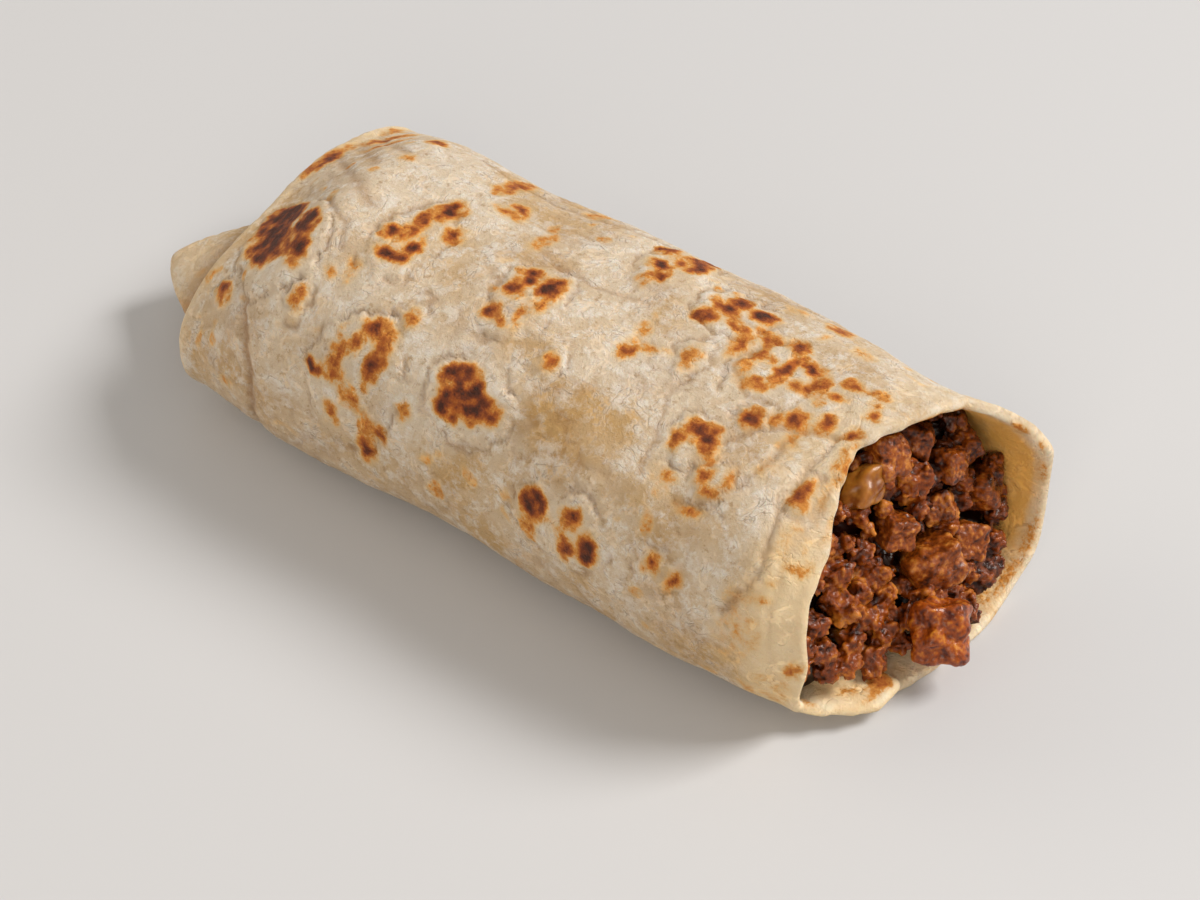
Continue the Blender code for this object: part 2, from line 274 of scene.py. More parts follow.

# %% [markdown]
# ## Where the sheet is browned
# A tortilla cooks on a hot plate: it blisters, and each blister's top scorches. So the browned spots come
# in clusters, each cluster on a low blister with a crack round it. Each spot is (mm along the roll, degrees
# round it, half its length, half its width in mm, turn in degrees, strength). This is the cook's own
# pattern, so each spot is listed one by one.

# %% Browned spots
SPOTS = (
    # the large blister by the folded end
    (-74, 152, 6.5, 5, 30, 1.0), (-62, 152, 4, 4, 0, 1.0), (-70, 140, 9, 4.5, 0, 1.0),
    (-58, 142, 3, 4, 20, 0.9), (-71, 132, 5, 3, 0, 0.95), (-79, 145, 3, 6, 0, 0.75),
    # along the folded edge and the back corner
    (-84.5, 200, 2.2, 7, 0, 0.9), (-79, 232, 2.2, 7, -30, 0.7), (-74, 222, 1.8, 5, -30, 0.6),
    (-84, 244, 2, 4, 0, 0.6), (-57, 224, 2.6, 2.6, 0, 0.75), (-56, 204, 1.8, 2, 0, 0.45),
    (-74, 115, 2.6, 1.8, -20, 0.85), (-50, 127, 1.5, 3.2, 10, 0.6), (-67, 89, 2, 1.2, 0, 0.5),
    (-47, 140, 1.6, 1.4, 0, 0.45), (-42, 144, 1.6, 3, 20, 0.4),
    # the cracked cluster on the crown
    (-34, 188, 2.6, 4, 0, 0.95), (-37, 177, 1.8, 3.2, 15, 0.9), (-28, 177, 2, 2.8, 0, 0.7),
    (-41, 165, 2, 2, 0, 0.95), (-37, 168, 1.6, 3, 0, 0.85), (-33, 160, 1.8, 3.4, 0, 1.0),
    (-37, 156, 2.4, 2, 0, 0.95), (-33, 155, 1.6, 1.6, 0, 0.9), (-32, 226, 2.4, 6, 0, 0.75),
    (-32, 215, 2.2, 2.6, 0, 0.6), (-23, 207, 2.4, 3, 0, 0.75), (-24, 203, 3, 1.5, 0, 0.55),
    (-11, 196, 1.4, 4, 0, 0.5), (-12, 233, 2, 3.6, 0, 0.5), (-21, 139, 1.9, 2.4, 0, 0.55),
    # the broken ring beside it
    (-4.5, 174, 2.8, 3, 0, 0.85), (2, 174, 2.6, 3.4, 0, 1.0), (-4.5, 165, 2.6, 2.2, 0, 0.8),
    (3.5, 166, 1.4, 3.4, -15, 0.65), (-5.5, 153, 1.8, 2, 0, 0.8), (-1.5, 151.5, 1.3, 1.2, 0, 0.75),
    (1.5, 157, 1.2, 3, 20, 0.5),
    # the long scorched patch on the front
    (-26.5, 130, 3.4, 2.2, 0, 0.8), (-23, 121, 2, 5.5, -8, 0.95), (-34, 119, 2.4, 3.4, 0, 0.7),
    (-39, 111, 2.4, 1.8, 0, 0.9), (-33, 112, 3.2, 2, 0, 0.6), (-27, 107, 3, 2, 0, 0.75),
    (-32, 99, 1.6, 2.4, 0, 0.7), (-22, 93, 2, 4, 0, 0.85), (-18, 101, 2, 2.4, 0, 0.75),
    (-22, 101, 1.8, 3, 0, 0.6), (-30, 124, 2, 2, 0, 0.5), (-12, 112, 1.6, 1.4, 0, 0.65),
    # the darkest spot, and its neighbour
    (-1, 128, 5, 4.4, 0, 1.0), (-2, 121, 3.4, 3.4, 0, 1.0), (4, 124, 3.6, 3.4, 0, 0.95),
    (8, 124, 2.8, 2.6, 0, 0.9), (14, 147, 2.1, 2.3, 0, 0.55),
    # the horseshoe over the crown
    (12, 223, 2.6, 3, 0, 0.85), (20, 226, 2.2, 4.4, 0, 0.9), (22, 219, 2, 3.4, 0, 0.85),
    (15.5, 211, 2.8, 2, 0, 0.9), (18, 206, 2, 2.2, 0, 0.85), (18, 218, 3.4, 2.6, 0, 0.5),
    (16.5, 199, 1.2, 1.6, 0, 0.6),
    # the busy stretch above the mouth
    (37, 213, 2.4, 2.8, 0, 0.9), (36.5, 205, 3, 2.2, 0, 0.9), (34, 197, 2.6, 2.6, 0, 0.8),
    (44, 212, 2.8, 2.6, 0, 1.0), (42, 200, 2.4, 1.4, 0, 0.85), (45.5, 193, 1.3, 2.8, 0, 0.85),
    (48, 204, 2, 1.4, 0, 0.7), (50, 202, 1.6, 2, 0, 0.8), (50.5, 190, 1.1, 4, 0, 0.7),
    (56, 205, 2.4, 2, -20, 0.95), (58.5, 191, 1.6, 4.6, 0, 0.85), (54, 192, 1.6, 1.2, 0, 0.6),
    (63, 197, 2, 1.8, 0, 0.9), (67, 191, 1.8, 2.6, 0, 0.85), (65.5, 186, 3, 1.6, 0, 0.85),
    (61, 199, 2.6, 1.2, 0, 0.6), (56, 178.5, 2, 1.4, 0, 0.8), (54, 176, 2, 1.4, 0, 0.5),
    (73, 198, 2, 1.8, 0, 0.7), (72.5, 189, 2, 1.2, 0, 0.6), (81, 196, 1.5, 3, 0, 0.65),
    (78, 199, 1.5, 1.5, 0, 0.45), (82.5, 187, 1.4, 1.4, 0, 0.6), (58, 228, 3.2, 3.8, 0, 0.55),
    (68, 217, 3, 2.6, 0, 0.32), (46, 227, 3, 2, 0, 0.3), (58.5, 216, 1, 1.6, 0, 0.4),
    (60.5, 163, 2.3, 2.6, 0, 0.95), (69, 173, 2.6, 2, 35, 0.9), (75, 176, 1.6, 2, 0, 0.85),
    (65, 168, 2.4, 1.2, 40, 0.6), (82, 176, 1.8, 1.8, 40, 0.6), (84, 166, 1.2, 3.6, 0, 0.6),
    (76, 172, 5, 1.2, 8, 0.4), (39.5, 176, 1.7, 3, 0, 0.6), (26, 167, 1.9, 2.8, 0, 0.65),
    (30, 172, 3, 0.9, 20, 0.5), (26, 178, 2, 3, 0, 0.35),
    # the front, towards the mouth
    (55, 149, 2.8, 2.8, 0, 1.0), (51, 149, 1.8, 1.6, 0, 0.7), (49.5, 143, 1.9, 2.4, 0, 0.85),
    (57, 145, 1.8, 2, 0, 0.75), (52, 132, 2, 1.2, 0, 0.6), (53, 127, 1, 1.1, 0, 0.55),
    (60.5, 137, 1.3, 1.8, 0, 0.7), (66, 139, 1.1, 2.4, 0, 0.55), (62.5, 133, 2.4, 1, 0, 0.6),
    (65.5, 134, 1.4, 1.4, 0, 0.55), (60, 141, 1, 2, 0, 0.5), (60, 126, 2.2, 1.3, 0, 0.6),
    (26, 106, 3.2, 3.4, 0, 1.0), (26, 98, 1.6, 2.6, 0, 0.6), (36.5, 108, 2.2, 2.2, 0, 0.7),
    (42, 102, 2.6, 3.4, 0, 1.0), (36.5, 99, 2.2, 3, 0, 0.75), (33, 104, 2.4, 1.4, 0, 0.35),
    (58, 108, 1.4, 2, 0, 0.8), (63.5, 106, 1.1, 2.4, -15, 0.7), (81, 146.5, 1.6, 2.9, 0, 0.95),
    (88.5, 124, 1.2, 2.2, 0, 0.5), (84, 112, 0.9, 1, 0, 0.5), (92.5, 87, 1.1, 2, 0, 0.6),
    (85.5, 158, 1.0, 5, 0, 0.55), (89, 143, 0.9, 3, 0, 0.4), (84, 117, 0.6, 0.8, 0, 0.5),
    (71, 163, 1.6, 3, 0, 0.35), (70, 150, 1.2, 3, 0, 0.35), (80, 100, 6, 12, 0, 0.18),
    (85, 130, 4, 9, 0, 0.17), (87, 75, 6, 8, 0, 0.17),
)
# Spots on the sheet's inner side, which shows at the lip.
INNER_SPOTS = (
    (101.5, 38, 2.6, 3.5, 0, 1.0), (102.5, 46, 1.2, 2.5, 0, 0.8), (98, 50, 1.6, 3, 20, 0.6),
    (94, 62, 3, 2, 0, 0.5), (106, 236, 3, 2, 0, 0.6), (107.5, 262, 1.6, 5, 0, 0.55),
    (101, 222, 3, 2, 0, 0.6), (96, 213, 3, 2, 0, 0.6), (108.5, 290, 1.2, 7, 0, 0.6),
    (108, 306, 1.4, 6, 0, 0.7), (106, 318, 2, 5, 0, 0.5), (109, 328, 1.2, 4, 0, 0.5),
    (91, 206, 1.2, 4, 0, 0.8), (93, 221, 1.2, 3, 0, 0.8), (103, 238, 1.4, 3, 0, 0.8),
    (108.5, 248, 1.0, 2, 0, 0.7),
)
# Blisters: the same first five numbers, for the low mound that the crack runs round.
BLISTERS = (
    (-67, 143, 16, 14, 0), (-36, 167, 8.5, 14.5, 0), (-1, 166, 8.5, 14, 0), (-21, 139, 3.6, 5, 0),
    (14, 147, 4, 5.5, 0), (2.5, 124, 12, 9.5, 0), (33.5, 103, 13.5, 9.5, 0), (39.5, 176, 3.8, 6, 0),
    (57, 185, 9, 12, 0), (60.5, 163, 4, 5, 0), (53.5, 146, 7, 6.5, 0), (63, 136, 5.5, 5.5, 0),
    (-50, 127, 3, 5, 0), (18, 216, 8, 12, 0), (38, 206, 9, 9, 0), (-28, 112, 13, 17, 0),
    (60, 107, 5.5, 4.5, 0), (81, 146, 3, 5, 0), (17, 199, 3, 3.4, 0), (-74, 114, 5, 4, 0),
)
print(len(SPOTS) + len(INNER_SPOTS), "browned spots on", len(BLISTERS), "blisters")


# %% Distance from a spot
def mm_per_degree(x, angle):
    """Length of one degree round the sheet, in millimetres."""
    step = section(x * MM, angle + 0.5) - section(x * MM, angle - 0.5)
    return float(np.linalg.norm(step)) / MM


def spot_depth(spot, x, angle):
    """1 in the middle of an oval spot, 0 at its edge, and below 0 outside. x and angle are arrays."""
    along = x / MM - spot[0]
    around = (angle - spot[1]) * mm_per_degree(spot[0], spot[1])
    turn = math.radians(spot[4])
    u = (along * math.cos(turn) + around * math.sin(turn)) / spot[2]
    v = (around * math.cos(turn) - along * math.sin(turn)) / spot[3]
    return 1 - np.hypot(u, v)

# %% [markdown]
# ## The rolled sheet
# The sheet is drawn as one closed skin. Each row runs round the roll from the inner end to the outer one,
# and the rows go along the inside, round the cut edge at the mouth, back along the outside and round the
# folded edge. Columns are closer together where the surface shows. A mesh this dense holds its creases and
# blisters as real shape.

# %% Rows and columns of the sheet
EDGE = SHEET / 2
FOLD_RADIUS = 0.0028
angles = np.concatenate([
    np.linspace(SHEET_START, 56, 10)[:-1],
    np.linspace(56, 262, 228)[:-1],
    np.linspace(262, 318, 42)[:-1],
    np.linspace(318, 360 + SHEET_END, 26),
])
reach = rim(angles) + 0.0004 * np.sin(np.radians(angles) * 9) * smooth_step(60, 80, angles)
fold = FOLD_X + FOLD_SLANT * np.sin(np.radians(angles))
under_layer = layer_inset(angles)


def sheet_row(x, inset, side):
    """One row of points, with its side: 1 outside, 0 inside."""
    spread = mouth_spread(x, angles, reach)
    return section(x, angles, under_layer + inset - spread), np.full(len(angles), float(side)), x


rows = []
for share in (
    0.07, 0.2, 0.4, 0.6, 0.74, 0.81, 0.85, 0.88, 0.905, 0.925, 0.94, 0.953, 0.965, 0.975, 0.985, 0.993
):
    rows.append(sheet_row(fold + (reach - EDGE - fold) * share, SHEET, 0))
for turn in np.linspace(math.pi, 0, 8):
    x = reach - EDGE + EDGE * math.sin(turn)
    rows.append(sheet_row(x, EDGE - EDGE * math.cos(turn), smooth_step(2.6, 0.9, turn)))
OUTER_ROWS = 246
for share in np.linspace(1, 0, OUTER_ROWS)[1:]:
    rows.append(sheet_row(fold + FOLD_RADIUS + (reach - EDGE - fold - FOLD_RADIUS) * share, 0 * reach, 1))
for turn in np.linspace(0, math.pi, 9)[1:]:
    x = fold + FOLD_RADIUS - FOLD_RADIUS * math.sin(turn)
    rows.append(sheet_row(x, FOLD_RADIUS - FOLD_RADIUS * math.cos(turn) + 0 * x, 1))
points = np.array([row[0] for row in rows])
outside = np.array([row[1] for row in rows])
places = np.array([row[2] for row in rows])
print("sheet grid:", points.shape[:2])

# %% [markdown]
# ## Blisters, cracks and creases
# Three kinds of relief make dough look like dough: soft dents where the filling presses, low blisters
# ringed by a thin crack, and fine creases where the sheet was bent. They are added as heights along the
# surface's own normal. The long creases run from the notch in the mouth, where the sheet was pulled tight,
# and from the folded corner.

# %% Relief of the sheet
# Long creases: depth and half width in mm, then (mm along, degrees round) points.
CREASES = (
    (0.9, 1.0, ((79.0, 171), (78.5, 155), (79.5, 136), (81.5, 122), (79.5, 112), (76.5, 103))),
    (0.7, 1.1, ((84.5, 176), (76, 170), (67, 166), (62, 158), (59, 150))),
    (0.5, 0.9, ((71, 164), (70, 152), (69, 141), (64, 131), (57, 126))),
    (0.45, 0.9, ((49, 196), (49, 181), (54, 172), (61, 172))),
    (0.5, 1.0, ((86, 152), (85, 132), (86, 112), (88.5, 92), (90, 78))),
    (0.35, 0.8, ((42, 170), (41, 156), (45, 143), (46, 130))),
    (1.3, 1.8, ((-66, 118), (-61, 108), (-57.5, 98), (-57, 86), (-58, 70))),
    (0.35, 1.6, ((-82, 205), (-72, 190), (-62, 182), (-50, 172))),
    (0.35, 2.0, ((-84, 225), (-72, 205), (-62, 196))),
    (0.3, 1.8, ((-86, 242), (-76, 226), (-66, 214), (-58, 208))),
    (0.4, 1.0, ((-62, 166), (-52, 160), (-48, 150))),
    (0.3, 0.9, ((-10, 190), (8, 186), (22, 190))),
    (0.35, 1.2, ((-45, 228), (-20, 226), (0, 230), (25, 228))),
    (0.35, 1.2, ((-20, 236), (10, 238), (45, 234), (70, 238))),
)


def noise_grid(size, shift=0.0):
    """Noise at every point of the sheet."""
    flat = points.reshape(-1, 3)
    return noise_at(flat, size, shift).reshape(points.shape[:2])


def line_distance(line, x, angle):
    """Distance in mm from an open run of points on the sheet."""
    scale = mm_per_degree(line[0][0], line[0][1])
    px, py = x / MM, angle * scale
    nearest = np.full(px.shape, 1e9)
    for (x0, a0), (x1, a1) in zip(line, line[1:]):
        ex, ey = x1 - x0, (a1 - a0) * scale
        share = np.clip(((px - x0) * ex + (py - a0 * scale) * ey) / (ex**2 + ey**2), 0, 1)
        nearest = np.minimum(nearest, np.hypot(px - x0 - share * ex, py - a0 * scale - share * ey))
    return nearest


angle_grid = np.broadcast_to(angles, places.shape)
warp_x = 1.5 * MM * noise_grid(0.0050) + 0.8 * MM * noise_grid(0.0019, 7)
warp_a = 2.2 * noise_grid(0.0050, 31) + 1.2 * noise_grid(0.0019, 43)
broken = smooth_step(-0.35, 0.15, noise_grid(0.007, 90))

WIDE_DENT, SMALL_DENT, GRAIN_HEIGHT, BLISTER_HEIGHT, BLISTER_CRACK = 0.55, 0.34, 0.09, 0.55, 0.5
WIDE_CRINKLE, FINE_CRINKLE = 0.16, 0.09
dents = WIDE_DENT * noise_grid(0.021, 3) + SMALL_DENT * noise_grid(0.0095, 5)
crinkle_mask = smooth_step(-0.25, 0.35, noise_grid(0.018, 60))
crinkle = WIDE_CRINKLE * np.exp(-((noise_grid(0.0062, 17) / 0.13) ** 2))
crinkle += FINE_CRINKLE * np.exp(-((noise_grid(0.0034, 23) / 0.2) ** 2))
height = dents - crinkle * (0.35 + 0.65 * crinkle_mask) + GRAIN_HEIGHT * noise_grid(0.0030, 71)
# Darker lines along the crinkles, blister cracks and creases, kept for the material: painted shade.
painted_shade = 0.5 * crinkle * crinkle_mask / (WIDE_CRINKLE + FINE_CRINKLE)
for blister in BLISTERS:
    half_size = min(blister[2], blister[3])
    depth = half_size * spot_depth((*blister, 0), places + warp_x * 1.6, angle_grid + warp_a * 1.6)
    height += BLISTER_HEIGHT * smooth_step(-0.3, 1.6, depth)
    groove = np.exp(-(((depth + 0.5) / 0.55) ** 2)) * broken
    height -= BLISTER_CRACK * groove
    painted_shade = np.maximum(painted_shade, 0.8 * groove)
for depth, half_width, line in CREASES:
    away = line_distance(line, places + warp_x * 0.8, angle_grid + warp_a * 0.6)
    groove = np.exp(-((away / half_width) ** 2))
    height -= depth * groove
    painted_shade = np.maximum(painted_shade, min(1.0, 0.45 + depth / 2) * groove**1.5)
print("relief, mm:", round(float(height.min()), 2), "to", round(float(height.max()), 2))

# %% [markdown]
# Each spot scorches from the middle out, so its strength falls towards an uneven edge. The strengths are
# kept on the mesh as an attribute, which the dough's material reads and breaks up with finer noise.

# %% Browning of the sheet
def browning(spots, ragged_x, ragged_angle):
    """Strength of the browning: each spot fades over some 4 mm, and close spots run a little together."""
    pale, strongest = np.ones(places.shape), np.zeros(places.shape)
    for spot in spots:
        depth = spot_depth(spot, places + ragged_x, angle_grid + ragged_angle) * min(spot[2], spot[3])
        strength = spot[5] * smooth_step(-2.2, 2.1, depth)
        pale *= 1 - strength
        strongest = np.maximum(strongest, strength)
    return 0.3 * (1 - pale) + 0.7 * strongest


toast = browning(SPOTS, warp_x * 0.8, warp_a * 0.8) * (0.86 + 0.7 * noise_grid(0.0024, 51))
faint = smooth_step(0.22, 0.5, noise_grid(0.0045, 81)) * smooth_step(0.0, 0.4, noise_grid(0.02, 86))
toast = np.maximum(toast, 0.28 * faint)
inner_toast = 0.62 * browning(INNER_SPOTS, warp_x, warp_a)
toast = np.clip(toast * outside + inner_toast * (1 - outside), 0, 1)

# Where the dough is thin, oily and tan, in the same five numbers as a spot and then its strength.
THIN_PATCHES = (
    (-73, 98, 11, 16, 0, 0.40), (28, 133, 17, 12, 0, 0.8), (8, 146, 8, 6, 0, 0.4), (44, 122, 8, 6, 0, 0.4),
    (-8, 190, 9, 8, 0, 0.5), (28, 190, 9, 7, 0, 0.4), (-20, 160, 8, 6, 0, 0.4), (2, 103, 13, 6, 0, 0.5),
    (72, 84, 16, 9, 0, 0.5), (80, 118, 5, 12, 0, 0.35), (-18, 222, 20, 15, 0, 0.6),
    (46, 228, 34, 8, 0, 0.45), (-12, 150, 9, 9, 0, 0.35), (-44, 152, 9, 9, 0, 0.35),
    (58, 122, 12, 8, 0, 0.3), (-45, 118, 8, 12, 0, 0.25), (66, 152, 12, 8, 0, 0.25),
    (-84, 195, 6, 40, 0, 0.45),
)
# Tan on the lower front side, less of it near the folded end: painted shade.
tan_and_painted_light = 0.42 * smooth_step(112, 82, angle_grid) * smooth_step(300, 250, angle_grid)
tan_and_painted_light *= 0.25 + 0.75 * smooth_step(FOLD_X, FOLD_X + 0.040, places)
for patch in THIN_PATCHES:
    depth = spot_depth(patch, places + 2.5 * warp_x, angle_grid + 2.5 * warp_a)
    tan_and_painted_light = 1 - (1 - tan_and_painted_light) * (1 - patch[5] * smooth_step(-0.25, 0.55, depth))
to_rim = rim(angle_grid) - places
# Gold inside from the fat, strongest on the back wall, where it is also a painted glow of light through the
# sheet.
oil_and_glow = 0.25 + 0.7 * smooth_step(150, 195, angle_grid) * smooth_step(312, 285, angle_grid)
tan_and_painted_light = tan_and_painted_light * outside + oil_and_glow * smooth_step(0.0004, 0.006, to_rim) * (1 - outside)
# A paler, smooth cream band along the mouth's rim, strongest on the front, which also paints its highlight;
# along the folded edge it is a painted highlight.
tight_and_highlit = 0.35 + 0.65 * smooth_step(140, 122, angle_grid)
smooth_and_highlight_band = smooth_step(0.016, 0.006, to_rim) * tight_and_highlit
smooth_and_highlight_band = np.maximum(smooth_and_highlight_band, 0.75 * smooth_step(FOLD_X + 0.0065, FOLD_X + 0.0015, places))
print("browned share of the outside:", round(float((toast[outside > 0.5] > 0.3).mean()), 3))

height *= outside * smooth_step(0, 0.004, to_rim) * 0.75 + outside * 0.25

# %% [markdown]
# The grid becomes a mesh: four-sided faces between neighbouring rows, with the last row joined to the
# first, and one face to close each end of the sheet. The heights move each point along the grid's own
# normal.

# %% Build the sheet
along = np.roll(points, -1, axis=0) - np.roll(points, 1, axis=0)
across = np.gradient(points, axis=1)
normals = np.cross(across, along)
normals /= np.linalg.norm(normals, axis=-1, keepdims=True) + 1e-12
middle_line = np.stack([points[..., 0], np.zeros(places.shape), np.full(places.shape, 0.02)], axis=-1)
outward = np.sign(((points - middle_line) * normals).sum(-1, keepdims=True)[OUTER_ROWS // 2, 120])
points = points + normals * outward * (height * MM)[..., None]
points[..., 2] = np.maximum(points[..., 2], 0.0)
points += np.array(AXIS)


def grid_object(name, grid, loop_rows, loop_columns, attributes, closed_ends=False):
    """A mesh from a grid of points, with attributes of the same shape."""
    row_count, column_count = grid.shape[:2]
    index = np.arange(row_count * column_count).reshape(row_count, column_count)
    a = index if loop_rows else index[:-1]
    b = np.roll(index, -1, axis=0) if loop_rows else index[1:]
    if loop_columns:
        quads = np.stack([a, np.roll(a, -1, axis=1), np.roll(b, -1, axis=1), b], axis=-1)
    else:
        quads = np.stack([a[:, :-1], a[:, 1:], b[:, 1:], b[:, :-1]], axis=-1)
    faces = quads.reshape(-1, 4).tolist()
    if loop_rows and not loop_columns:
        faces += [index[:, 0].tolist(), index[::-1, -1].tolist()]
    if closed_ends:
        faces += [index[0].tolist(), index[-1].tolist()]
    mesh = bpy.data.meshes.new(name)
    mesh.from_pydata(grid.reshape(-1, 3).tolist(), [], faces)
    keep_on_mesh(mesh, attributes)
    cage = bmesh.new()
    cage.from_mesh(mesh)
    bmesh.ops.recalc_face_normals(cage, faces=cage.faces)
    cage.to_mesh(mesh)
    cage.free()
    mesh.shade_smooth()
    print(name, "has", sum(len(face) - 2 for face in faces), "triangles")
    return new_object(name, mesh)


painted_shade *= outside * (1 - 0.7 * smooth_and_highlight_band)
sheet_look = {"toast": toast, "painted_shade": painted_shade, "outside": outside, "tan_and_painted_light": tan_and_painted_light, "smooth": smooth_and_highlight_band}
sheet = grid_object("rolled_tortilla", points, loop_rows=True, loop_columns=False, attributes=sheet_look)

# %% [markdown]
# ## The tucked tip
# The sheet's side was folded in before the last turn, and its corner sticks out under the folded edge like
# an envelope's. It is a flat lens that tapers and droops to a rounded point, lightly creased.

# %% Tucked tip
TIP_X, TIP_Y, TIP_Z, TIP_ROUND = -0.1125, -0.0118, 0.0150, 0.0028
TUCK_HALF_WIDTH, TUCK_HALF_HEIGHT, TUCK_HEIGHT, FRONT_SHARE = 0.0330, 0.0105, 0.0165, 0.84
tip_angles = np.linspace(0, 360, 181)[:-1]
tip_outs = np.concatenate(
    [np.linspace(-0.2, 0.86, 62), 1 - 0.14 * (1 - np.sin(np.linspace(0, math.pi / 2, 14)[1:]))]
)


def tip_row(out):
    """The tip's outline at a share of the way from the fold to its point."""
    taper = min(1.0, max(0.0, 1 - out) ** 0.9)
    end = math.sqrt(max(0.0, 1 - max(out, 0.0) ** 5))
    wide = (TUCK_HALF_WIDTH - TIP_ROUND) * taper + TIP_ROUND * end
    tall = (TUCK_HALF_HEIGHT - TIP_ROUND) * taper + TIP_ROUND * end
    side, down = np.sin(np.radians(tip_angles)), np.cos(np.radians(tip_angles))
    x = FOLD_X + (TIP_X - FOLD_X) * out
    y = TIP_Y * (0.25 + 0.75 * out) - wide * side * np.where(side > 0, FRONT_SHARE, 1.0)
    z = TUCK_HEIGHT + (TIP_Z - TUCK_HEIGHT) * out - tall * down * np.abs(down) ** 0.35
    return np.stack([np.full(len(side), x), y, z], axis=-1)


# Inside the fold the dough turns outwards until it meets the roll, so the end is closed.
WALL_X = FOLD_X + 0.009
wall_ring = section(WALL_X, tip_angles, SHEET + 0.0006)
tip_rows = []
for share in np.linspace(0, 1, 22)[:-1]:
    ring = wall_ring + (tip_row(-0.2) - wall_ring) * share
    ring[:, 0] = WALL_X - 0.0042 * share**2
    tip_rows.append(ring)
tip_rows += [tip_row(out) for out in tip_outs]
tip_points = np.array(tip_rows)
flat_points = tip_points.reshape(-1, 3)
tip_height = 0.9 * noise_at(flat_points, 0.014, 4) + 0.3 * noise_at(flat_points, 0.005, 9)
tip_height -= 0.35 * np.exp(-((noise_at(flat_points, 0.006, 13) / 0.12) ** 2))
tip_points[..., 2] += tip_height.reshape(tip_points.shape[:2]) * MM
tip_toast = 0.16 * smooth_step(0.2, 0.6, noise_at(flat_points, 0.007, 30))
# Painted shadow on the tip near the folded edge, where the roll shades it.
tip_shade = smooth_step(FOLD_X - 0.0155, FOLD_X - 0.0040, flat_points[:, 0])
tip_points += np.array(AXIS)
evenly = np.ones_like(tip_toast)
tip_look = {
    "toast": tip_toast, "painted_shade": tip_shade, "outside": evenly, "tan_and_painted_light": 0.30 * evenly,
    "smooth": 0.35 * evenly,
}
tip = grid_object("tucked_tip", tip_points, loop_rows=False, loop_columns=True, attributes=tip_look)

# %% [markdown]
# ## Flour tortilla
# Griddled wheat dough: matt, a little translucent, dusted with flour. It is cream where it is thick and
# floury, tan where it is thin, and goes gold, orange, brown and nearly black as it scorches. The lower front
# side is tan as well, as painted shade. The toast attribute picks the colour on that scale, and fine noise in
# the shader gives each spot its ragged edge and its darker points.

# %% Colour of the tortilla
dough, shader = new_material("griddled_flour_tortilla")
place = add_node(dough, "TexCoord", "Object")
toast_level, tan_and_painted_light_level, outside_level, painted_shade_level, smooth_and_highlight_level = (
    add_node(dough, "Attribute", "Fac", attribute_name=key)
    for key in ("toast", "tan_and_painted_light", "outside", "painted_shade", "smooth")
)

patches = add_node(dough, "TexNoise", "Fac", Vector=place, Scale=1 / 0.019, Detail=5.0, Roughness=0.6)
patches = add_node(dough, "MapRange", "Result", Value=patches, From_Min=0.42, From_Max=0.66, To_Max=0.6)
# Tan where the dough is thin, and on the lower front side as painted shade.
tan_and_painted_light_share = add_node(dough, "Math", "Value", operation="ADD", use_clamp=True, in_0=tan_and_painted_light_level, in_1=patches)
body = add_node(dough, "Mix", 2, data_type="RGBA", in_0=tan_and_painted_light_share, in_6="e0ceb5", in_7="c49d64")
crumb_size = add_node(dough, "TexNoise", "Fac", Vector=place, Scale=1 / 0.0048, Detail=8.0, Roughness=0.74)
floury = add_node(dough, "MapRange", "Result", Value=crumb_size, From_Min=0.47, From_Max=0.60, To_Max=0.9)
bare = add_node(
    dough, "Math", "Value", operation="MULTIPLY_ADD", use_clamp=True, in_0=tan_and_painted_light_level, in_1=-0.65, in_2=1.0
)
floury = add_node(dough, "Math", "Value", operation="MULTIPLY", in_0=floury, in_1=bare)
body = add_node(dough, "Mix", 2, data_type="RGBA", in_0=floury, in_6=body, in_7="f0e7da")
speck_size = add_node(dough, "TexNoise", "Fac", Vector=place, Scale=1 / 0.0017, Detail=4.0, Roughness=0.7)
specks = add_node(dough, "MapRange", "Result", Value=speck_size, From_Min=0.57, From_Max=0.67, To_Max=0.55)
body = add_node(dough, "Mix", 2, data_type="RGBA", in_0=specks, in_6=body, in_7="a98454")
wrinkle = add_node(
    dough, "TexNoise", "Fac", Vector=place, Scale=1 / 0.0085, Detail=3.0, Roughness=0.6, Distortion=0.8
)
wrinkle = add_node(dough, "Math", "Value", operation="SUBTRACT", in_0=wrinkle, in_1=0.5)
wrinkle = add_node(dough, "Math", "Value", operation="ABSOLUTE", in_0=wrinkle)
wrinkle = add_node(
    dough, "MapRange", "Result", Value=wrinkle, From_Min=0.0, From_Max=0.027, To_Min=1.0, To_Max=0.0
)
somewhere = add_node(dough, "MapRange", "Result", Value=crumb_size, From_Min=0.46, From_Max=0.56)
wrinkle = add_node(dough, "Math", "Value", operation="MULTIPLY", in_0=wrinkle, in_1=somewhere)
# Painted shade in the fine wrinkles.
wrinkle_shade = add_node(dough, "Math", "Value", operation="MULTIPLY", in_0=wrinkle, in_1=0.38)
body = add_node(dough, "Mix", 2, data_type="RGBA", in_0=wrinkle_shade, in_6=body, in_7="a5845c")
# Paler cream: smooth stretched dough, with a painted highlight along the rim and the folded edge.
smooth_and_highlight_share = add_node(dough, "Math", "Value", operation="MULTIPLY", in_0=smooth_and_highlight_level, in_1=0.85)
body = add_node(dough, "Mix", 2, data_type="RGBA", in_0=smooth_and_highlight_share, in_6=body, in_7="f8ddb0")

# %% [markdown]
# Browning is read from the toast attribute. Fine noise is added to it first, so the edge of a spot is
# ragged and its middle has blacker points; then a Color Ramp turns the level into gold, orange, brown and
# nearly black.

